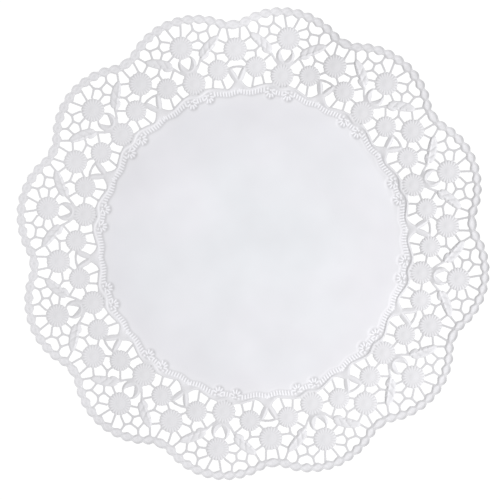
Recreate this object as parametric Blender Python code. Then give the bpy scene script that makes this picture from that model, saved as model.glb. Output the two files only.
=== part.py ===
"""Round lace doily, one sheet of embossed and die-cut paper lying flat on its underside.

The sheet is a plain round middle inside a twelve-fold lace border. The outer edge is a row of small
beads that runs over twelve round scallops. The border's largest gaps go right through the sheet.

Metres, +Z up. The origin is the centre of the underside, and one scallop points along +X.
"""

import math
from collections import namedtuple

import bpy

MM = 0.001

SCALLOPS = 12
REPEAT = math.tau / SCALLOPS
SHEET_THICK = 1.0 * MM

# Each scallop is an arc that carries the centres of ten edge beads. One more bead lies across each valley.
ARC_CENTRE_OUT = 110.2 * MM
ARC_RADIUS = 47.0 * MM
BEADS_ON_ARC = 10
BEAD_SPREAD = math.radians(9.0)
BEAD_HALF_WIDTH = 2.8 * MM
NOTCH_ABOVE_ARC = 1.4 * MM
VALLEY_BEAD_OUT = 147.4 * MM
VALLEY_BEAD_HALF_LENGTH = 3.0 * MM

# A gap is a six-cornered opening. out is how far its middle lies from the doily's centre, turn is its
# angle from the scallop's middle line and lean is its own tilt, both clockwise in degrees. Its waist is
# wide across, and taper widens its outer side and narrows its inner side. A gap that is off the middle
# lines has a mirrored twin.
Gap = namedtuple("Gap", "name out turn lean tall wide taper")
GAPS = (
    Gap("top", 150.8, 0.0, 0, 6.6, 6.8, 0.30),
    Gap("shoulder", 150.2, 2.9, 6, 5.8, 5.4, 0.15),
    Gap("rim", 149.5, 6.6, 12, 4.6, 8.8, 0.00),
    Gap("slope", 144.9, 9.8, 22, 6.8, 5.8, 0.10),
    Gap("window", 142.4, 6.9, -4, 5.4, 5.2, 0.10),
    Gap("side", 141.2, 12.2, 0, 7.4, 5.2, -0.25),
    Gap("valley", 141.7, 15.0, 0, 5.6, 6.8, 0.10),
    Gap("leaf", 133.3, 10.3, 12, 5.4, 5.8, 0.00),
    Gap("under_leaf", 127.4, 7.1, -22, 4.2, 7.0, 0.00),
    Gap("stem", 121.6, 4.2, 6, 7.0, 4.6, -0.10),
    Gap("bow", 121.5, 15.0, 0, 3.2, 9.6, 0.00),
    Gap("band", 110.7, 11.4, -8, 6.4, 6.0, 0.00),
)
MIDDLE_LINES = (0.0, 15.0)
SIDE_SHARE = 0.8

PAPER_COLOUR = (0.80, 0.81, 0.82, 1.0)
PAPER_ROUGHNESS = 0.75


def clear_scene():
    for leftover in list(bpy.data.objects):
        bpy.data.objects.remove(leftover, do_unlink=True)


def at(out, turn):
    """The point that lies out from the centre, turned clockwise from +X."""
    return out * math.cos(turn), -out * math.sin(turn)


def turned(point, turn):
    x, y = point
    return (
        x * math.cos(turn) + y * math.sin(turn),
        y * math.cos(turn) - x * math.sin(turn),
    )


def scallop_edge():
    """One scallop's edge, anticlockwise, with three points a bead, and its valley bead's outer side."""
    points = []
    first = -BEADS_ON_ARC / 2 * BEAD_SPREAD
    for step in range(3 * BEADS_ON_ARC + 1):
        swing = first + step * BEAD_SPREAD / 3
        over = NOTCH_ABOVE_ARC if step % 3 == 0 else BEAD_HALF_WIDTH
        reach = ARC_RADIUS + over
        points.append((ARC_CENTRE_OUT + reach * math.cos(swing), reach * math.sin(swing)))
    for side in (-1, 1):
        flat = (VALLEY_BEAD_OUT + BEAD_HALF_WIDTH, side * VALLEY_BEAD_HALF_LENGTH / 2)
        points.append(turned(flat, -REPEAT / 2))
    return points


def outer_edge():
    edge = []
    for scallop in range(SCALLOPS):
        edge += [turned(point, -scallop * REPEAT) for point in scallop_edge()]
    return edge


def gap_edge(gap, turn_sign, scallop):
    """One gap's six corners, mirrored when turn_sign is -1, in its scallop's place."""
    half_tall = gap.tall * MM / 2
    half_wide = gap.wide * MM / 2
    outer = half_wide * SIDE_SHARE * (1 + gap.taper)
    inner = half_wide * SIDE_SHARE * (1 - gap.taper)
    corners = (
        (half_tall, outer),
        (0.0, half_wide),
        (-half_tall, inner),
        (-half_tall, -inner),
        (0.0, -half_wide),
        (half_tall, -outer),
    )
    turn = turn_sign * math.radians(gap.turn) + scallop * REPEAT
    lean = turn_sign * math.radians(gap.lean)
    middle_x, middle_y = at(gap.out * MM, turn)
    edge = []
    for corner in corners:
        x, y = turned(corner, turn + lean)
        edge.append((middle_x + x, middle_y + y))
    return edge


def all_gap_edges():
    edges = []
    for gap in GAPS:
        signs = (1,) if gap.turn in MIDDLE_LINES else (1, -1)
        for scallop in range(SCALLOPS):
            edges += [gap_edge(gap, sign, scallop) for sign in signs]
    return edges


def paper():
    material = bpy.data.materials.new("doily_paper")
    material.use_nodes = True
    shader = material.node_tree.nodes["Principled BSDF"]
    shader.inputs["Base Color"].default_value = PAPER_COLOUR
    shader.inputs["Roughness"].default_value = PAPER_ROUGHNESS
    shader.inputs["Metallic"].default_value = 0.0
    return material


def doily():
    """The sheet, as a filled flat curve: its outer edge, and every gap as a hole."""
    outline = bpy.data.curves.new("doily", "CURVE")
    outline.dimensions = "2D"
    outline.fill_mode = "BOTH"
    outline.extrude = SHEET_THICK / 2
    for edge in [outer_edge()] + all_gap_edges():
        spline = outline.splines.new("POLY")
        spline.points.add(len(edge) - 1)
        for point, (x, y) in zip(spline.points, edge):
            point.co = (x, y, 0.0, 1.0)
        spline.use_cyclic_u = True
    outline.materials.append(paper())
    sheet = bpy.data.objects.new("doily", outline)
    sheet.location.z = SHEET_THICK / 2
    bpy.context.collection.objects.link(sheet)
    return sheet


clear_scene()
doily()
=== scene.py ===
import math

import bpy
import numpy as np
from mathutils.geometry import delaunay_2d_cdt
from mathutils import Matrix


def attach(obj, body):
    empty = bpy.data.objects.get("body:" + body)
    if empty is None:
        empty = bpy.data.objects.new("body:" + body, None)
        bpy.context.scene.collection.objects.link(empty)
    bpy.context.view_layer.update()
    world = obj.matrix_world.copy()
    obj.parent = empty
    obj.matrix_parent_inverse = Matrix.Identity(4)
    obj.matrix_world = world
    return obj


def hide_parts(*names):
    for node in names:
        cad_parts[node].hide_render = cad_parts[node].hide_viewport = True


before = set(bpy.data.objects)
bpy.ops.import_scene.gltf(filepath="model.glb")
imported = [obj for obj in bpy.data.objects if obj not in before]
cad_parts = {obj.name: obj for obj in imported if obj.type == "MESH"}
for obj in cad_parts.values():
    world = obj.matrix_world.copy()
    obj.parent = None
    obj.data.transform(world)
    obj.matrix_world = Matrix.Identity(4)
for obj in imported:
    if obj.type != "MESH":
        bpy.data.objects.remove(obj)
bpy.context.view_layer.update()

# ---------------------------------------------------------------------------
# The net. Thin paper bars left standing between the punched holes, tying the
# flowers, the leaves and the edge together. Pressed half round by the die.

# The pattern is drawn flat, for half a scallop, in millimetres: across from
# the middle line of the scallop, and out from the middle of the doily. The
# other half is its mirror, and the scallop is turned twelve times.
SCALLOPS = 12
HALF_TURN = math.pi / SCALLOPS
GROUND = 0.10  # height of the paper along its cut edges

net = (
    # across and out at one end, across and out at the other
    (2.7, 147.4, 4.9, 153.9),
    (11.6, 148.3, 12.1, 153.2),
    (11.6, 148.3, 6.2, 145.6),
    (11.6, 148.3, 14.2, 144.9),
    (14.2, 144.9, 20.4, 144.7),
    (20.4, 144.7, 23.4, 148.0),
    (14.2, 144.9, 12.8, 140.6),
    (12.8, 140.6, 7.4, 140.4),
    (12.8, 140.6, 15.5, 137.0),
    (20.4, 144.7, 20.6, 138.2),
    (7.0, 135.9, 11.5, 133.5),
    (30.0, 143.6, 25.4, 138.3),
    (25.3, 136.2, 28.6, 133.0),
    (33.4, 142.4, 32.0, 133.0),
    (18.4, 131.0, 20.4, 128.0),
    (20.4, 128.0, 26.0, 126.8),
    (20.4, 128.0, 19.4, 124.4),
    (9.5, 127.5, 13.2, 123.0),
    (28.4, 121.4, 25.3, 119.4),
    (7.6, 116.3, 11.4, 116.3),
    (13.6, 113.6, 10.8, 107.0),
    (18.3, 111.4, 18.4, 104.0),
)
BAR = 0.69  # half the width of a bar
BAR_TALL = 0.06
# A bar is greyed with painted shade, standing for its shaded flanks and the shade at its sides.
BAR_PAINTED_SHADE = 0.78

# A motif is given flat points. For each it finds how far the point is past its outline,
# the height there, the greyness, which carries the painted shade, and how much the paper is hatched.
motifs = []
creases = []  # lines of points along ridges and folds, where the sheet needs corners


def off_line(p, a, b):
    """How far points are from the straight line that joins a and b."""
    a, b = np.array(a, float), np.array(b, float)
    share = np.clip((p - a) @ (b - a) / ((b - a) @ (b - a)), 0, 1)
    return np.linalg.norm(p - a - share[:, None] * (b - a), axis=1)


def off_path(p, path):
    """How far points are from a path of several straight pieces."""
    return np.min([off_line(p, a, b) for a, b in zip(path, path[1:])], axis=0)


def along(path, gap):
    """Points along a path, about gap apart."""
    found = []
    for a, b in zip(path, path[1:]):
        count = max(1, round(math.dist(a, b) / gap))
        found += [np.array(a) + (np.array(b) - np.array(a)) * i / count for i in range(count)]
    return np.array(found + [np.array(path[-1], float)])


def beside(path, shift, gap):
    """Points along a path, moved that far to the left of it, about gap apart."""
    found = []
    for a, b in zip(path, path[1:]):
        aside = shift * np.array((a[1] - b[1], b[0] - a[0])) / math.dist(a, b)
        found.append(along([a + aside, b + aside], gap))
    return np.vstack(found)


def round_bar(path, half, tall, shade):
    """A half-round bar along a path."""

    def shape(p):
        off = off_path(p, path)
        rise = np.clip(1 - (off / half) ** 2, 0, 1)
        return off - half, GROUND + tall * rise, 0 * off + shade, 0 * off

    return shape


for across1, out1, across2, out2 in net:
    path = [(across1, out1), (across2, out2)]
    motifs.append(round_bar(path, BAR, BAR_TALL, BAR_PAINTED_SHADE))
    creases.append(along(path, 0.7))

# ---------------------------------------------------------------------------
# The daisies. Round flowers of twenty-one petals around a low button, raised
# a little by the die, with slits pressed in between the round petal ends.

PETALS = 21
TOOTH = 0.24  # how far the petal tips reach past the mean rim, and the slits fall short of it
VALLEY_DAISY_OUT = 130.9

daisies = (
    # across, out, radius
    (0.0, 139.6, 7.65),
    (0.0, 114.2, 7.65),
    (18.2, 117.2, 6.95),
    (VALLEY_DAISY_OUT * math.sin(HALF_TURN), VALLEY_DAISY_OUT * math.cos(HALF_TURN), 7.75),
)

daisy_section = (
    # share of the radius, height, depth of the slits, greyness, greyness added in the slits;
    # the greyness near the rim and in the slits is painted shade
    (0.00, 0.39, 0.00, 0.535, 0.00),
    (0.16, 0.38, 0.00, 0.530, 0.00),
    (0.30, 0.31, 0.00, 0.550, 0.00),
    (0.42, 0.28, 0.00, 0.520, 0.03),
    (0.60, 0.30, 0.04, 0.490, 0.14),
    (0.80, 0.32, 0.11, 0.475, 0.29),
    (0.90, 0.28, 0.16, 0.500, 0.40),
    (1.00, 0.12, 0.04, 0.640, 0.42),
    (1.05, 0.10, 0.00, 0.740, 0.24),
)
daisy_shares, daisy_height, daisy_slit, daisy_grey, daisy_slit_grey = zip(*daisy_section)

daisy_rings = (
    # share of the radius, points round the ring there
    (0.00, 1),
    (0.17, 7),
    (0.33, 14),
    (0.48, 21),
    (0.60, 42),
    (0.72, 84),
    (0.83, 84),
    (0.92, 84),
)


def petals(turn):
    """1 along the middle of a petal, -1 in the slit between two."""
    return 2 * np.abs(np.cos(PETALS / 2 * turn)) - 1


def daisy(across, out, radius):
    """A daisy, its first petal pointing straight out from the middle of the doily."""

    def shape(p):
        x, y = p[:, 0] - across, p[:, 1] - out
        r = np.hypot(x, y)
        petal = petals(np.arctan2(x, y) - math.atan2(across, out))
        slit = ((1 - petal) / 2) ** 2
        share = r / radius
        height = np.interp(share, daisy_shares, daisy_height)
        height = height - slit * np.interp(share, daisy_shares, daisy_slit)
        grey = np.interp(share, daisy_shares, daisy_grey)
        grey = grey + slit * np.interp(share, daisy_shares, daisy_slit_grey)
        return r - radius - TOOTH * petal, height, grey, 0 * r

    return shape


def daisy_ring(across, out, reach, turns):
    """Points round a daisy, at turns from its first petal."""
    turns = turns + math.atan2(across, out)
    return np.column_stack((across + reach * np.sin(turns), out + reach * np.cos(turns)))


rims = []
for across, out, radius in daisies:
    motifs.append(daisy(across, out, radius))
    for share, columns in daisy_rings:
        turns = np.arange(columns) * 2 * math.pi / columns
        creases.append(daisy_ring(across, out, radius * share, turns))
    turns = np.arange(4 * PETALS) * math.pi / PETALS / 2
    rims.append(daisy_ring(across, out, radius + TOOTH * petals(turns), turns))

# ---------------------------------------------------------------------------
# The leaves. A long leaf lies along each side of the scallop on a short stem,
# and two small ones make a V where scallops meet at the band. Cut from the
# same paper and domed, with a rib left standing and veins pressed down.

TINY = 1e-9  # keeps the middle of an oval from dividing nothing by nothing
# A leaf is greyed toward its outline and along its pressed veins: painted shade where the dome falls away
# and in the veins.
LEAF_EDGE = (-1.1, -0.6, 0.0)  # how far past its outline a leaf is plain, a little grey, and grey
LEAF_EDGE_PAINTED_SHADE = 0.76
RIB = 0.45  # half the width of a rib or a vein
RIB_RISE = 0.19
VEIN_DROP = -0.15
VEIN_PAINTED_SHADE = 0.18


def of_ovals(rows):
    """The outline round overlapping ovals: it gives how far points are past it."""

    def edge(p):
        found = []
        for across, out, half_long, half_wide, lean in rows:
            x, y = p[:, 0] - across + TINY, p[:, 1] - out
            cos, sin = math.cos(math.radians(lean)), math.sin(math.radians(lean))
            ahead, aside = x * cos + y * sin, y * cos - x * sin
            far = np.hypot(ahead / half_long, aside / half_wide)
            steep = np.hypot(ahead / half_long**2, aside / half_wide**2)
            found.append(far * (far - 1) / steep)
        return np.min(found, axis=0)

    return edge


def leaf(outline, rib, veins, tall, slope, grey, hatch):
    """A domed leaf: the rib stands up out of it, and veins are pressed down into it."""

    def shape(p):
        edge = outline(p)
        dome = np.clip(-edge / slope, 0, 1)
        height = GROUND + tall * np.sqrt(dome * (2 - dome))
        shade = np.interp(edge, LEAF_EDGE, (grey, grey + 0.08, LEAF_EDGE_PAINTED_SHADE))
        for paths, rise, greyer in (([rib], RIB_RISE, 0.0), (veins, VEIN_DROP, VEIN_PAINTED_SHADE)):
            for path in paths:
                near = np.exp(-((off_path(p, path) / RIB) ** 2)) * np.clip(-edge / 0.8 - 0.2, 0, 1)
                height = height + rise * near
                shade = shade + greyer * near
        return edge, height, shade, np.where(edge < -0.2, hatch, 0)

    return shape


long_leaf = (
    # across, out, half length, half width, lean up from the across line
    (17.7, 134.5, 9.2, 3.2, 28),
    (12.6, 131.6, 3.4, 2.2, 62),
    (12.9, 129.3, 3.5, 2.0, 12),
)
long_rib = [(9.6, 128.0), (25.0, 137.0)]
vein_rows = (
    # share of the way along the rib, length, lean up from the across line
    (0.25, 4.0, 81),
    (0.50, 5.0, 74),
    (0.52, 1.9, -72),
    (0.74, 1.9, -43),
)
long_veins = []
for share, reach, lean in vein_rows:
    start = np.array(long_rib[0]) * (1 - share) + np.array(long_rib[1]) * share
    tip = start + reach * np.array((math.cos(math.radians(lean)), math.sin(math.radians(lean))))
    long_veins.append([tuple(start), tuple(tip)])
small_leaf = ((26.6, 110.2, 6.0, 2.05, 102),)
small_rib = [(26.0, 114.6), (27.6, 107.2)]

motifs.append(leaf(of_ovals(long_leaf), long_rib, long_veins, tall=0.27, slope=1.5, grey=0.49, hatch=0.4))
motifs.append(leaf(of_ovals(small_leaf), small_rib, [], tall=0.19, slope=1.4, grey=0.53, hatch=0.2))
for path in [long_rib, small_rib] + long_veins:
    creases += [beside(path, shift, 0.5) for shift in (0, -0.5, 0.5)]

# The stem of the long leaf, and the bar that ties the daisies on either side
# of a valley, bowed a little outward.
stem = [(3.0, 120.8), (6.4, 124.0), (9.6, 128.0)]
tie_bar = [(26.0, 115.6), (28.7, 115.7), (30.85, 115.1), (33.6, 113.9)]
STEM_TALL = 0.14
# Both are greyed with painted shade, like the bars.
for path, half, shade in ((stem, 0.76, 0.68), (tie_bar, 0.68, 0.80)):
    motifs.append(round_bar(path, half, STEM_TALL, shade))
    creases.append(along(path, 0.5))

# ---------------------------------------------------------------------------
# The crescents. Two horn-shaped petals under each outer daisy: the halves of
# one round, with a heart-shaped hole between them. Domed like a leaf.

ROUND_OUT = 127.5
ROUND = 6.2
RIB_ROUND = 4.7  # the rib of a crescent runs round the same middle
HEART_POINT_OUT = 124.2
HEART_LOBE = (1.3, 130.1)  # middle of the lobe, across and out
HEART_LOBE_ROUND = 2.3


def crescents(p):
    """How far points are past the round, or inside the hole, which widens from its point to two lobes."""
    p = np.column_stack((np.abs(p[:, 0]), p[:, 1]))
    point = np.array((0.0, HEART_POINT_OUT))
    side = np.array(HEART_LOBE) - point
    share = np.clip((p - point) @ side / (side @ side), 0, 1)
    hole = np.linalg.norm(p - point - share[:, None] * side, axis=1) - HEART_LOBE_ROUND * share**0.7
    return np.maximum(np.hypot(p[:, 0], p[:, 1] - ROUND_OUT) - ROUND, -hole)


bends = np.radians(np.arange(40, 176, 15))
crescent_rib = [(RIB_ROUND * math.sin(bend), ROUND_OUT + RIB_ROUND * math.cos(bend)) for bend in bends]
motifs.append(leaf(crescents, crescent_rib, [], tall=0.20, slope=1.3, grey=0.58, hatch=0.2))
creases += [beside(crescent_rib, shift, 0.5) for shift in (0, -0.5, 0.5)]

# ---------------------------------------------------------------------------
# The braided edge. Two cords cross and recross along the scallop, leaving an
# eye between them at each of ten places, and one more eye lies over the
# valley to the next scallop. Raised cords, with the eyes pressed back.

ARC_OUT = 110.2  # how far out the middle of the scallop's arc is
ARC = 46.75  # radius of the arc
EYE = math.radians(9.0)  # one eye of the braid, along the arc
EYE_HALF = ARC * EYE / 2
VALLEY_OUT = 147.3
VALLEY_HALF = 5.1
ARC_END = math.radians(45.3)
SWAY = 2.22  # how far a cord swings from the middle line
OUTER_WAIST = 1.63  # how far the outer outline is from the middle line, between two eyes
OUTER_SWELL = 1.57  # and how much farther it is over the middle of an eye
INNER_WAIST = 1.77
INNER_SWELL = 1.33
ASLANT = 0.86  # the outline runs aslant, so it is that much nearer than straight across
CORD_TALL = 0.29
EYE_DIP = 0.16  # how much lower an eye is toward its outer side
OUTER_LIFT = 0.22  # and how much its outer cord stands up again
EYE_GREY = 0.46
# The eyes are greyed toward their outlines, along the lines where the cords cross, and in a spot at their
# middle: painted shade where the relief falls away, in the crossings, and for a small pressed dot that the
# height does not have.
BRAID_EDGE_PAINTED_SHADE = 0.84
CORD_PAINTED_SHADE = 0.24  # greyness added along the line where the cords run
BUTTON = 0.7  # size of the spot in the middle of an eye
BUTTON_PAINTED_SHADE = 0.11


def eased(value, start, end):
    """0 before the start, 1 past the end, and a smooth rise between them."""
    t = np.clip((value - start) / (end - start), 0, 1)
    return t * t * (3 - 2 * t)


def braid(beat, aside, half):
    """One place on the braid: beat runs from -1 to 1 over an eye of that half length, aside is outward."""
    wave = np.cos(math.pi / 2 * beat)
    open_eye = np.abs(wave)
    outer = aside - (OUTER_WAIST + OUTER_SWELL * open_eye)
    inner = -aside - (INNER_WAIST + INNER_SWELL * wave**2)
    edge = np.maximum(outer, inner) * ASLANT
    lean = SWAY * math.pi / 2 / half * np.sin(math.pi / 2 * beat)
    cords = np.minimum(np.abs(aside - SWAY * wave), np.abs(aside + SWAY * wave)) / np.sqrt(1 + lean**2)
    height = GROUND + CORD_TALL * eased(-inner, 0.0, 1.5)
    height = height - EYE_DIP * open_eye * eased(aside, -1.7, 0.8)
    height = height + OUTER_LIFT * open_eye * eased(outer, -1.7, -0.2)
    button = np.exp(-(((beat * half) ** 2 + (aside - 0.1) ** 2) / BUTTON**2))
    shade = np.interp(edge, (-0.7, 0.0), (EYE_GREY, BRAID_EDGE_PAINTED_SHADE))
    shade = shade + CORD_PAINTED_SHADE * np.clip(1 - cords / 0.5, 0, 1) + BUTTON_PAINTED_SHADE * button
    return edge, height, shade, np.where(edge < -0.3, 0.5, 0.0)


def ended(found, past):
    """The same shape, stopped where past is more than nothing."""
    edge, height, shade, hatch = found
    return np.maximum(edge, past), np.where(past < 0, height, 0), shade, hatch


def arc_shape(p):
    """The braid along the scallop."""
    x, y = p[:, 0], p[:, 1] - ARC_OUT
    turn = np.arctan2(x, y)
    found = braid(2 * ((turn / EYE) % 1) - 1, np.hypot(x, y) - ARC, EYE_HALF)
    return ended(found, (np.abs(turn) - ARC_END) * ARC)


def valley_shape(p):
    """The eye of the braid that lies over a valley."""
    x = p[:, 0] * math.cos(HALF_TURN) - p[:, 1] * math.sin(HALF_TURN)
    y = p[:, 0] * math.sin(HALF_TURN) + p[:, 1] * math.cos(HALF_TURN) - VALLEY_OUT
    return ended(braid(x / VALLEY_HALF, y, VALLEY_HALF), np.abs(x) - VALLEY_HALF)


motifs.append(arc_shape)
motifs.append(valley_shape)


def on_arc(turn, aside):
    """Points on the braid along the scallop."""
    return np.column_stack(((ARC + aside) * np.sin(turn), ARC_OUT + (ARC + aside) * np.cos(turn)))


def over_valley(x, aside):
    """Points on the eye of the braid over a valley."""
    out = VALLEY_OUT + aside
    across = x * math.cos(HALF_TURN) + out * math.sin(HALF_TURN)
    return np.column_stack((across, out * math.cos(HALF_TURN) - x * math.sin(HALF_TURN)))


CORD = 0.75  # half the width of a cord
beats = np.arange(0, math.radians(45.01), EYE / 14)
sway = SWAY * np.sin(math.pi * beats / EYE)
for side in (-1, 1):
    creases.append(on_arc(beats, side * sway))
for side in (-1, 1):
    creases.append(on_arc(beats, side * np.maximum(np.abs(sway) - CORD, 0)))
swing = np.linspace(-VALLEY_HALF, 0, 9)
sway = SWAY * np.cos(math.pi / 2 * swing / VALLEY_HALF)
for side in (-1, 1):
    creases.append(over_valley(swing, side * sway))
for side in (-1, 1):
    creases.append(over_valley(swing, side * np.maximum(sway - CORD, 0)))

# ---------------------------------------------------------------------------
# The band. A raised border around the plain middle, waved to follow the
# flowers, with a furrow along its inner side crossed by short stitches, and a
# little shell of stitches on each side of the scallop's middle line.

BORDER_ROUND = 34.3  # radius of the border's outer edge over the middle of a scallop
BORDER_ROUND_OUT = 74.5  # and how far out the middle of that round is
VALLEY_REACH = 104.6  # in a valley the border flares outward from here, to meet the small leaves
VALLEY_FLARE = 6.4
VALLEY_SPREAD = math.radians(2.25)
SHELL_OUT = 100.9  # a shell bites a small round out of the edge of the plain middle
SHELL_ACROSS = 6.0
SHELL_ROUND = 2.95

lines_round = (
    # degrees from the middle of the scallop, how far out the border's foot is, and the plain middle's edge
    (0, 104.5, 100.7),
    (3, 106.2, 101.5),
    (6, 105.9, 101.7),
    (9, 103.8, 100.4),
    (12, 103.3, 100.0),
    (15, 104.1, 101.0),
)
around = np.radians(np.arange(-4.5, 19.6, 0.75))


def waved(outs):
    """A smooth line round every scallop that is that far out at even turns from its middle to the valley."""
    waves = SCALLOPS * np.arange(len(outs))
    rows = np.linspace(0, HALF_TURN, len(outs))
    sizes = np.linalg.solve(np.cos(np.outer(rows, waves)), outs)
    return lambda turns: np.cos(np.outer(turns, waves)) @ sizes


def ringed(out_at):
    """The points of such a line over one half scallop and a little beyond."""
    outs = out_at(around)
    return list(zip(outs * np.sin(around), outs * np.cos(around)))


def border_out(turns):
    """How far out the border's outer edge is."""
    turns = HALF_TURN - np.abs(HALF_TURN - np.abs(turns))
    over = BORDER_ROUND_OUT * np.sin(turns)
    scallop = BORDER_ROUND_OUT * np.cos(turns) + np.sqrt(BORDER_ROUND**2 - over**2)
    valley = VALLEY_REACH + VALLEY_FLARE * np.exp(-(((HALF_TURN - turns) / VALLEY_SPREAD) ** 2))
    return np.maximum(scallop, valley)


_, foot_outs, middle_outs = zip(*lines_round)
foot_out = waved(foot_outs)
middle_out = waved(middle_outs)
band_outer = ringed(border_out)
band_foot = ringed(foot_out)
middle_edge = ringed(middle_out)

STITCH = 2.15  # length of a stitch
STITCH_APART = 1.07  # degrees
STITCH_PAST = 0.4  # how far past the edge of the plain middle a stitch starts
VALLEY_STITCH = (102.5, 103.8)  # the stitch in the valley is a short one, from here out to here


def straight_out(turn, start, end):
    """A stitch at that turn, from start to end out from the middle of the doily."""
    return (start * math.sin(turn), start * math.cos(turn), end * math.sin(turn), end * math.cos(turn))


stitches = []
for degrees in [0, 1.05] + [5.75 + STITCH_APART * n for n in range(9)]:
    turn = math.radians(degrees)
    start = float(middle_out(turn)[0]) + STITCH_PAST
    stitches.append(straight_out(turn, start, start + STITCH))
stitches.append(straight_out(HALF_TURN, *VALLEY_STITCH))

FAN = (5.9, 103.1)  # middle of the fan of stitches in a shell, across and out

shell_fan = (
    # degrees from straight in, where the stitch starts and ends, from the middle of the fan
    (-112, 1.3, 2.6),
    (-61, 1.6, 3.7),
    (-30, 2.5, 4.4),
    (0, 2.5, 4.5),
    (30, 2.2, 4.3),
    (62, 1.8, 3.7),
    (112, 1.9, 2.8),
    (180, 0.1, 0.5),
)
shell = []  # the last row of the fan is the knot in its middle
for degrees, near_end, far_end in shell_fan:
    aim = (math.sin(math.radians(degrees)), -math.cos(math.radians(degrees)))
    far = (FAN[0] + far_end * aim[0], FAN[1] + far_end * aim[1])
    near = (FAN[0] + near_end * aim[0], FAN[1] + near_end * aim[1])
    shell.append((*far, *near))


def rises_past(p, path):
    """How far points are on the outer side of a path that runs from left to right."""
    side = np.sign(p[:, 1] - np.interp(p[:, 0], *zip(*path)))
    return side * off_path(p, path)


STITCH_HALF = 0.46  # about half the width of a stitch
STITCH_TALL = 0.15
MIDDLE_TALL = 0.31
MIDDLE_GREY = 0.45
BORDER_TALL = 0.32
BORDER_SINK = 0.17  # how much lower the border lies near a valley
BORDER_GREY = 0.54
# The furrow and the border's outer edge are greyed with painted shade, where they lie low or fall away from
# the lamp, and the raised stitches are whitened with painted light.
FURROW_PAINTED_SHADE = (0.83, 0.53)  # deep in the furrow, and near the foot of the border
STITCH_PAINTED_LIGHT = 0.06
BAND_EDGE_PAINTED_SHADE = 0.22
PAST_HALF = 1.5  # how far past the half scallop the band is drawn
FAR_OUTSIDE = 9  # stands for a point well past every outline


def band(p):
    """The whole band, from the plain middle to the border's outer edge."""
    edge = rises_past(p, band_outer)
    bite = SHELL_ROUND - np.hypot(np.abs(p[:, 0]) - SHELL_ACROSS, p[:, 1] - SHELL_OUT)
    middle = eased(np.maximum(rises_past(p, middle_edge), bite), 0.2, -1.5)
    past_foot = rises_past(p, band_foot)
    border = eased(past_foot, -0.5, 0.5 + 2.0 * eased(p[:, 0], 23.0, 28.0))
    furrow = np.clip(1 - middle - border, 0, 1)
    near = np.min([off_line(p, s[:2], s[2:]) for s in stitches + shell], axis=0)
    stitch = np.clip(1.35 - (near / STITCH_HALF) ** 2, 0, 1) * furrow
    low = BORDER_SINK * eased(p[:, 0], 21.0, 26.0)
    height = GROUND + MIDDLE_TALL * middle + (BORDER_TALL - low) * border
    height = height + 0.03 * np.clip(past_foot, 0, 4) + STITCH_TALL * stitch
    height = GROUND + (height - GROUND) * eased(edge, 0.8, -1.2)
    deep = np.interp(past_foot, (-1.5, -0.6), FURROW_PAINTED_SHADE)
    shade = MIDDLE_GREY * middle + BORDER_GREY * border + deep * furrow
    shade = shade * (1 - stitch) + STITCH_PAINTED_LIGHT * stitch + BAND_EDGE_PAINTED_SHADE * eased(edge, -0.6, 0.1)
    past_valley = p[:, 0] * math.cos(HALF_TURN) - p[:, 1] * math.sin(HALF_TURN)
    beyond = (p[:, 0] < -PAST_HALF) | (past_valley > PAST_HALF)
    covered = beyond | (np.hypot(p[:, 0], p[:, 1] - daisies[1][1]) < daisies[1][2])
    hatch = np.where(edge < -0.3, 0.3 * border, 0)
    return np.where(beyond, FAR_OUTSIDE, edge), np.where(covered, 0, height), shade, hatch


motifs.append(band)
for stitch in stitches + shell:
    creases += [beside([stitch[:2], stitch[2:]], shift, 0.6) for shift in (0, -0.42, 0.42)]
for row in (stitches[:2], stitches[2:], shell):
    for a, b in zip(row, row[1:]):
        between = (np.array(a) + np.array(b)) / 2
        creases.append(along([between[:2], between[2:]], 0.8))
bites = np.radians(np.arange(-105, 106, 15))
for aside in (-0.2, 0.7, 1.5):
    reach = SHELL_ROUND + aside
    across, out = SHELL_ACROSS + reach * np.sin(bites), SHELL_OUT - reach * np.cos(bites)
    creases.append(np.column_stack((across, out)))
for path, shift in (
    (band_foot, 0.5),
    (band_foot, 0.0),
    (band_foot, -0.5),
    (middle_edge, -1.5),
    (middle_edge, -0.7),
    (middle_edge, 0.2),
):
    creases.append(beside(path, shift, 0.55))

# ---------------------------------------------------------------------------
# The sheet. One round of white paper, pressed and punched by a die: everything
# above joined together, mirrored, and turned twelve times, round a plain
# middle. It lies loose on the table, in soft waves.

FILLET = 0.27  # how softly neighbouring shapes run into each other
MIDDLE = 95.6  # the pattern lies between this and the outermost
OUTERMOST = 160.0


def mirrored(p, turn):
    """The points mirrored in a line out from the middle at that turn."""
    c, s = math.cos(2 * turn), math.sin(2 * turn)
    return np.column_stack((-c * p[:, 0] + s * p[:, 1], s * p[:, 0] + c * p[:, 1]))


def drawn(p):
    """How far past the cut edge flat points are, and the paper's height, greyness and hatching there."""
    folds = [p, mirrored(p, 0.0), mirrored(p, HALF_TURN)]
    edges = []
    best = np.full(len(p), -9.0)
    height = np.full(len(p), GROUND)
    shade = np.full(len(p), 0.6)
    hatch = np.zeros(len(p))
    for motif in motifs:
        found = [motif(fold) for fold in folds]
        edges.append(np.min([f[0] for f in found], axis=0))
        # The tallest motif gives the greyness; one that only reaches near here counts less.
        for edge, tall, dark, hatching in found:
            score = tall - 0.3 * np.maximum(edge, 0)
            wins = score > best
            best = np.where(wins, score, best)
            shade = np.where(wins, dark, shade)
            hatch = np.where(wins, hatching, hatch)
            height = np.maximum(height, tall)
    edge = -FILLET * np.log(np.sum(np.exp(-np.clip(np.array(edges), -8, 8) / FILLET), axis=0))
    return edge, height, shade, hatch


# The half scallop is looked at along lines out from the middle, so that the
# first and the last of them are the mirror lines themselves.
line_turns = np.linspace(0, HALF_TURN, 190)
line_outs = np.arange(MIDDLE, OUTERMOST + 0.5, 0.2)
looked = np.array([np.outer(line_outs, (math.sin(turn), math.cos(turn))) for turn in line_turns])
level = drawn(looked.reshape(-1, 2))[0].reshape(looked.shape[:2])


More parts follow.
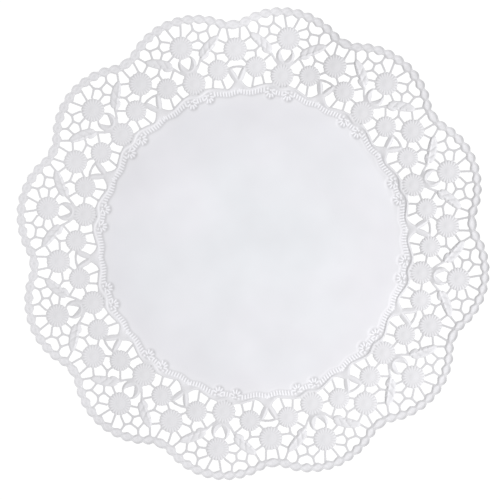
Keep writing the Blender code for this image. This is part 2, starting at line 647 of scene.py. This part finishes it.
def lines_at(past):
    """The lines along which the pattern is that far past the cut edge; a closed one ends where it starts."""
    beyond = level - past
    there = beyond < 0
    joined = {}
    passed = there[:-1, :-1].astype(int) + there[1:, :-1] + there[:-1, 1:] + there[1:, 1:]
    for i, j in np.argwhere((passed > 0) & (passed < 4)).tolist():
        cell = [(i, j), (i + 1, j), (i + 1, j + 1), (i, j + 1)]
        sides = [(min(a, b), max(a, b)) for a, b in zip(cell, cell[1:] + cell[:1]) if there[a] != there[b]]
        for one, other in zip(sides[::2], sides[1::2]):
            joined.setdefault(one, []).append(other)
            joined.setdefault(other, []).append(one)
    found = []
    for start in sorted(joined, key=lambda side: len(joined[side])):
        path = [start]
        while joined[path[-1]]:
            following = joined[path[-1]].pop()
            joined[following].remove(path[-1])
            path.append(following)
        if len(path) > 1:
            ends = [(looked[a], looked[b], beyond[a] / (beyond[a] - beyond[b])) for a, b in path]
            found.append(np.array([a + (b - a) * share for a, b, share in ends]))
    return found


class Corners:
    """The corners of the sheet, kept apart from each other."""

    CELL = 0.6

    def __init__(self):
        self.cells = {}
        self.all = []

    def add(self, x, y, gap):
        """The number of the corner that is within the gap of a point, made there if there is none."""
        i, j = int(x / self.CELL), int(y / self.CELL)
        for a in (i - 1, i, i + 1):
            for b in (j - 1, j, j + 1):
                for n in self.cells.get((a, b), ()):
                    if math.dist((x, y), self.all[n]) < gap:
                        return n
        self.cells.setdefault((i, j), []).append(len(self.all))
        self.all.append((x, y))
        return len(self.all) - 1


def in_half(p, slack):
    """Which points are inside the half scallop, and that far from the mirror lines."""
    return (p[:, 0] >= slack) & (p[:, 0] * math.cos(HALF_TURN) - p[:, 1] * math.sin(HALF_TURN) <= -slack)


# Corners along the cut edges. Where a daisy's rim is the cut edge, its petal
# tips and slits are corners too, so that they stay sharp.
STEP = 0.45  # between corners along a cut edge
corners = Corners()
cuts = []
tips = np.vstack(rims)
tips = tips[in_half(tips, 0.0)]
NEAR_CUT = 0.12
tips = tips[np.abs(drawn(tips)[0]) < NEAR_CUT]
for line in lines_at(0.0):
    gaps = np.hypot(tips[:, None, 0] - line[:, 0], tips[:, None, 1] - line[:, 1])
    marks = sorted((int(n), k) for k, n in enumerate(gaps.argmin(axis=1)) if gaps[k, n] < 0.2)
    if math.dist(line[0], line[-1]) < 1e-9 and marks:
        first = marks[0][0]
        line = np.vstack((line[first:-1], line[: first + 1]))
        marks = [(n - first, k) for n, k in marks[1:]]
    for n, k in marks:
        line[n] = tips[k]
    walked = np.append(0, np.cumsum(np.hypot(*np.diff(line, axis=0).T)))
    stops = [0] + [n for n, k in marks if 0 < n < len(line) - 1] + [len(line) - 1]
    ring = []
    for n, m in zip(stops, stops[1:]):
        count = max(1, round((walked[m] - walked[n]) / STEP))
        places = np.linspace(walked[n], walked[m], count, endpoint=False)
        ring += list(zip(np.interp(places, walked, line[:, 0]), np.interp(places, walked, line[:, 1])))
    numbers = [corners.add(x, y, 0.1) for x, y in ring + [tuple(line[-1])]]
    cuts += [(a, b) for a, b in zip(numbers, numbers[1:]) if a != b]

# Corners inside the sheet: on the mirror lines, along the creases, then as an
# even net, and in rings over the plain middle.
for turn in (0.0, HALF_TURN):
    outs = np.arange(MIDDLE, OUTERMOST, 0.5)
    line = np.outer(outs, (math.sin(turn), math.cos(turn)))
    for (x, y), edge in zip(line, drawn(line)[0]):
        if edge < -0.25:
            corners.add(x, y, 0.3)
folded = np.vstack(creases)
folded = folded[in_half(folded, 0.16)]
folded = folded[drawn(folded)[0] < -0.24]
inner = np.vstack([along(line[::2], 0.5) for line in lines_at(-0.72) if len(line) > 6])
for across, out, radius in daisies:
    inner = inner[np.hypot(inner[:, 0] - across, inner[:, 1] - out) > radius * 0.98]
folded = np.vstack((folded, inner[in_half(inner, 0.16)]))
for x, y in folded:
    corners.add(x, y, 0.32)
even = np.array([
    (across + 0.40 * (row % 2), out)
    for row, out in enumerate(np.arange(MIDDLE, OUTERMOST, 0.70))
    for across in np.arange(0, 43.0, 0.80)
])
even = even[in_half(even, 0.28)]
for across, out, radius in daisies:
    even = even[np.hypot(even[:, 0] - across, even[:, 1] - out) > radius * 0.98]
even = even[drawn(even)[0] < -0.3]
for x, y in even:
    corners.add(x, y, 0.58)
RING_STEP = 2.6  # between corners along a ring
middle_rings = (0.0, 12.0, 24.0, 36.0, 47.0, 57.0, 66.0, 74.0, 80.5, 86.0, 90.0, 93.0, 95.2)
for out in middle_rings:
    count = max(1, round(out * HALF_TURN / RING_STEP)) if out else 0
    for n in range(count + 1):
        turn = HALF_TURN * n / count if count else 0
        corners.add(out * math.sin(turn), out * math.cos(turn), 0.1)

filled = delaunay_2d_cdt(corners.all, cuts, [], 0, 1e-5, True)
points = np.array([tuple(q) for q in filled[0]])
faces = np.array([f for f in filled[2]])
a, b, c = points[faces[:, 0]], points[faces[:, 1]], points[faces[:, 2]]
area = np.abs((b[:, 0] - a[:, 0]) * (c[:, 1] - a[:, 1]) - (b[:, 1] - a[:, 1]) * (c[:, 0] - a[:, 0])) / 2
SLIVER = 0.002  # area of the largest triangle that is left out as a sliver
faces = faces[(drawn(points[faces].mean(axis=1))[0] < 0) & (area > SLIVER)]
used = np.unique(faces)
place = np.full(len(points), -1)
place[used] = np.arange(len(used))
points, faces = points[used], place[faces]
_, height, shade, hatch = drawn(points)

# Mirror it and turn it. Corners on a mirror line are shared by both sides of it.
# A corner's kind is 0 at the very middle, 1 on the middle line of the scallop,
# 2 on the line of the valley, and 3 anywhere else.
outs = np.hypot(*points.T)
turns = np.arctan2(points[:, 0], points[:, 1])
ON_LINE = 1e-3  # how near a mirror line a corner is to be on it
kind = np.full(len(outs), 3)
kind[(HALF_TURN - turns) * outs < ON_LINE] = 2
kind[turns * outs < ON_LINE] = 1
kind[outs < ON_LINE] = 0
numbers = {}
sheet_points = []
sheet_faces = []
rows = []
for n in range(SCALLOPS):
    for flip in (1, -1):
        ids = []
        for i in range(len(points)):
            shared = ((i,), (i, n), (i, (n if flip == 1 else n - 1) % SCALLOPS), (i, n, flip))[kind[i]]
            if shared not in numbers:
                numbers[shared] = len(numbers)
                turn = turns[i] * flip + 2 * HALF_TURN * n
                sheet_points.append((outs[i] * math.cos(turn), -outs[i] * math.sin(turn)))
                rows.append((height[i], shade[i], hatch[i]))
            ids.append(numbers[shared])
        ids = np.array(ids)[faces]
        sheet_faces.append(ids if flip == 1 else ids[:, ::-1])
sheet_faces = np.vstack(sheet_faces)
sheet_points = np.array(sheet_points)
height, shade, hatch = np.array(rows).T

# How it lies: the middle stands proud, and the lace slopes away from it in soft
# waves. The corners of the section are smoothed by taking it at seven places.
lie_section = (
    # out from the middle, height, height of the waves
    (0, 1.85, 0.0),
    (30, 1.80, 0.0),
    (44, 1.84, 0.0),
    (60, 1.96, 0.0),
    (72, 1.88, 0.0),
    (82, 1.60, 0.0),
    (90, 1.20, 0.0),
    (98, 0.72, 0.02),
    (110, 0.42, 0.06),
    (135, 0.18, 0.16),
    (160, 0.0, 0.32),
)
out = np.hypot(*sheet_points.T)
turn = np.arctan2(sheet_points[:, 1], sheet_points[:, 0])
lie = np.zeros(len(out))
swell = np.zeros(len(out))
away, lies, swells = zip(*lie_section)
for shift in (-9, -6, -3, 0, 3, 6, 9):
    lie += np.interp(out + shift, away, lies) / 7
    swell += np.interp(out + shift, away, swells) / 7

# The relief is stronger on one side than on the other.
STRONG_WAY = 15.2  # which side, in degrees
LEAST_RELIEF = 0.80
RELIEF_GAIN = 0.75
strong = (1 + np.cos(turn - math.radians(STRONG_WAY))) / 2
pivot = GROUND + MIDDLE_TALL * eased(out, 112, 96)
height = pivot + (height - pivot) * (LEAST_RELIEF + RELIEF_GAIN * strong**1.5)
z = height + lie + swell * (1 + np.sin(5 * turn + 0.8) * np.cos(2 * turn - 0.5))

# Painted shade and light: the paper is made a little greyer or paler toward some sides, where its tilt
# toward the lamp would shade or light it.
painted_shade_and_light = (
    # which way from the middle and how far it spreads, both in degrees, then
    # the painted shade added to the band, to the lace and to the outlines (painted light where less than
    # nothing)
    (8.2, 26, 0.00, 0.00, 0.13),
    (35.2, 22, 0.12, 0.00, 0.00),
    (74.2, 12, 0.00, 0.09, 0.04),
    (100.2, 12, 0.00, -0.10, 0.04),
    (140.2, 20, 0.00, 0.04, 0.00),
    (180.2, 60, 0.00, -0.02, -0.07),
    (-124.8, 28, -0.04, 0.05, 0.00),
    (-39.8, 35, -0.02, -0.05, -0.02),
)
on_band = np.clip((out - 96) / 3, 0, 1) * np.clip((112 - out) / 6, 0, 1)
on_lace = np.clip((out - 100) / 20, 0, 1)
on_outline = np.clip((shade - 0.68) / 0.10, 0, 1) * (out > 104)
for way, spread, band_grey, lace_grey, outline_grey in painted_shade_and_light:
    aside = (np.degrees(turn) - way + 180) % 360 - 180
    near = np.exp(-((aside / spread) ** 2))
    shade = shade + near * (band_grey * on_band + lace_grey * on_lace + outline_grey * on_outline)

middle_section = (
    # out from the middle, greyness added
    (10, 0.0),
    (30, -0.015),
    (55, -0.02),
    (76, 0.0),
    (92, 0.03),
    (97, 0.0),
)
shade = shade + np.interp(out, *zip(*middle_section))

MM = 0.001
DEEPEST = 1.5  # the most that greyness can be
mesh = bpy.data.meshes.new("doily_sheet")
mesh.from_pydata(
    [(x * MM, y * MM, h * MM) for (x, y), h in zip(sheet_points, z)],
    [],
    sheet_faces.tolist(),
)
mesh.shade_smooth()
for name, values in (("shade", shade), ("hatched", hatch)):
    mark = mesh.attributes.new(name, "FLOAT", "POINT")
    mark.data.foreach_set("value", np.clip(values, 0, DEEPEST).astype(np.float32))
mesh.validate()
doily = bpy.data.objects.new("doily_sheet", mesh)
bpy.context.scene.collection.objects.link(doily)

# ---------------------------------------------------------------------------
# The paper. Plain white, uncoated and matt, with a fine grain. It is greyed with painted
# shade along bars, outlines, slits and furrows, where the relief turns from the lamp.


class Node:
    """A shader value that can be worked with as a number."""

    tree = None

    def __init__(self, socket):
        self.socket = socket

    @classmethod
    def make(cls, kind, settings=(), **values):
        node = cls.tree.nodes.new(kind)
        for name, value in dict(settings).items():
            setattr(node, name, value)
        for name, value in values.items():
            socket = node.inputs[int(name[2:]) if name.startswith("in") else name.replace("_", " ")]
            if isinstance(value, Node):
                cls.tree.links.new(value.socket, socket)
            else:
                socket.default_value = value
        return node

    def maths(self, operation, other, swap=False):
        pair = (other, self) if swap else (self, other)
        node = Node.make("ShaderNodeMath", {"operation": operation}, in0=pair[0], in1=pair[1])
        return Node(node.outputs[0])

    def __add__(self, other):
        return self.maths("ADD", other)

    def __radd__(self, other):
        return self.maths("ADD", other, True)

    def __sub__(self, other):
        return self.maths("SUBTRACT", other)

    def __rsub__(self, other):
        return self.maths("SUBTRACT", other, True)

    def __mul__(self, other):
        return self.maths("MULTIPLY", other)

    def __rmul__(self, other):
        return self.maths("MULTIPLY", other, True)


MIDDLE_BLUE = (0.862, 0.879, 0.917, 1.0)  # the plain middle, near its centre
MIDDLE_VIOLET = (0.882, 0.879, 0.924, 1.0)  # and farther out
LACE_WHITE = (0.866, 0.863, 0.892, 1.0)
MIDDLE_ENDS = 0.092  # how far out, in metres, the tint of the plain middle gives way to the lace's
# The colour of the deepest painted shade.
PAINTED_SHADE_GREY = (0.293, 0.287, 0.293, 1.0)  # where the greyness is deepest
CLOUDS = 0.28  # how much the greyness varies in soft clouds
LINES_ROUND = 1100.0  # how close the lines of the hatching are, round the doily
LINES_OUT = 7400.0  # and outward

paper = bpy.data.materials.new("doily_paper")
paper.use_nodes = True
Node.tree = paper.node_tree
shader = paper.node_tree.nodes["Principled BSDF"]
shader.inputs["Roughness"].default_value = 0.80
shader.inputs["Specular IOR Level"].default_value = 0.2
grey = Node(Node.make("ShaderNodeAttribute", {"attribute_name": "shade"}).outputs["Fac"])
hatched = Node(Node.make("ShaderNodeAttribute", {"attribute_name": "hatched"}).outputs["Fac"])
where = Node(Node.make("ShaderNodeTexCoord").outputs["Object"])
parts = Node.make("ShaderNodeSeparateXYZ", Vector=where)
x = Node(parts.outputs[0])
y = Node(parts.outputs[1])
turned = y.maths("ARCTAN2", x)
reach = (x * x + y * y).maths("POWER", 0.5)
tint = Node.make("ShaderNodeTexNoise", Vector=where, Scale=19.0, Detail=1.0, Distortion=0.6)
tint = Node(tint.outputs["Fac"])
middle = Node.make(
    "ShaderNodeMix",
    {"data_type": "RGBA"},
    in0=(reach - 0.020) * 13.7 + (tint - 0.5) * 1.8,
    in6=MIDDLE_BLUE,
    in7=MIDDLE_VIOLET,
)
pale = Node.make(
    "ShaderNodeMix",
    {"data_type": "RGBA"},
    in0=(reach - MIDDLE_ENDS) * 60,
    in6=Node(middle.outputs[2]),
    in7=LACE_WHITE,
)
clouds = Node(Node.make("ShaderNodeTexNoise", Vector=where, Scale=27.0, Detail=2.0).outputs["Fac"])
# The paper's colour is darkened toward that grey by the shade attribute, which is mostly painted shade,
# varied by soft clouds of random tone.
mix = Node.make(
    "ShaderNodeMix",
    {"data_type": "RGBA"},
    in0=(grey - (clouds - 0.5) * CLOUDS) * (1 / DEEPEST),
    in6=Node(pale.outputs[2]),
    in7=PAINTED_SHADE_GREY,
)
Node.tree.links.new(mix.outputs[2], shader.inputs["Base Color"])
grain = Node(Node.make("ShaderNodeTexNoise", Vector=where, Scale=900.0, Detail=3.0).outputs["Fac"])
one_way = (turned * LINES_ROUND + reach * LINES_OUT).maths("SINE", 0)
other_way = (turned * LINES_ROUND - reach * LINES_OUT).maths("SINE", 0)
relief = grain * 0.25 + (one_way + other_way) * hatched * 0.4
bump = Node.make("ShaderNodeBump", Strength=0.5, Distance=0.00012, Height=relief)
Node.tree.links.new(bump.outputs["Normal"], shader.inputs["Normal"])
mesh.materials.append(paper)

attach(doily, "root")
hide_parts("doily")

# ---------------------------------------------------------------------------
# The table it lies on, the light and the camera. The table glows white, so it
# takes almost no shadow. One large lamp, low down on one side, brings out the
# relief, and the camera looks straight down.

bpy.ops.mesh.primitive_plane_add(size=6.0, location=(0, 0, 0))
table = bpy.context.object
table.name = "table"
white = bpy.data.materials.new("table_white")
white.use_nodes = True
finish = white.node_tree.nodes["Principled BSDF"]
finish.inputs["Base Color"].default_value = (0.06, 0.06, 0.06, 1)
finish.inputs["Roughness"].default_value = 0.9
finish.inputs["Specular IOR Level"].default_value = 0.0
finish.inputs["Emission Color"].default_value = (1, 1, 1, 1)
finish.inputs["Emission Strength"].default_value = 0.97
table.data.materials.append(white)

scene = bpy.context.scene
scene.view_settings.view_transform = "Standard"
scene.view_settings.look = "None"
scene.view_settings.exposure = 0.0
scene.view_settings.gamma = 1.0

world = bpy.data.worlds.new("studio")
scene.world = world
world.use_nodes = True
world.node_tree.nodes["Background"].inputs["Color"].default_value = (1, 1, 1, 1)
world.node_tree.nodes["Background"].inputs["Strength"].default_value = 0.55

lamp = bpy.data.lights.new("window", "AREA")
lamp.shape = "SQUARE"
lamp.size = 2.5
lamp.energy = 440.0
light = bpy.data.objects.new("window", lamp)
scene.collection.objects.link(light)
LAMP_AWAY = 6.0
azimuth = math.radians(-7.0)
lift = math.radians(32.0)
aside = LAMP_AWAY * math.cos(lift)
light.location = (aside * math.cos(azimuth), aside * math.sin(azimuth), LAMP_AWAY * math.sin(lift))
light.rotation_euler = (0, math.radians(90) - lift, azimuth)

CAMERA_HEIGHT = 1.2
VIEW_WIDTH = 0.3352  # of the table, seen across the picture
OFF_RIGHT = -0.00198  # how far the camera is off the doily's middle, to its own right and up
OFF_UP = -0.00425
SPIN = math.radians(9.8)  # how much the camera is turned
eye = bpy.data.cameras.new("camera")
camera = bpy.data.objects.new("camera", eye)
scene.collection.objects.link(camera)
camera.location = (
    math.cos(SPIN) * OFF_RIGHT - math.sin(SPIN) * OFF_UP,
    math.sin(SPIN) * OFF_RIGHT + math.cos(SPIN) * OFF_UP,
    CAMERA_HEIGHT,
)
camera.rotation_euler = (0, 0, SPIN)
eye.sensor_width = 36.0
eye.lens = 36.0 * CAMERA_HEIGHT / VIEW_WIDTH
eye.clip_end = 20.0
scene.camera = camera
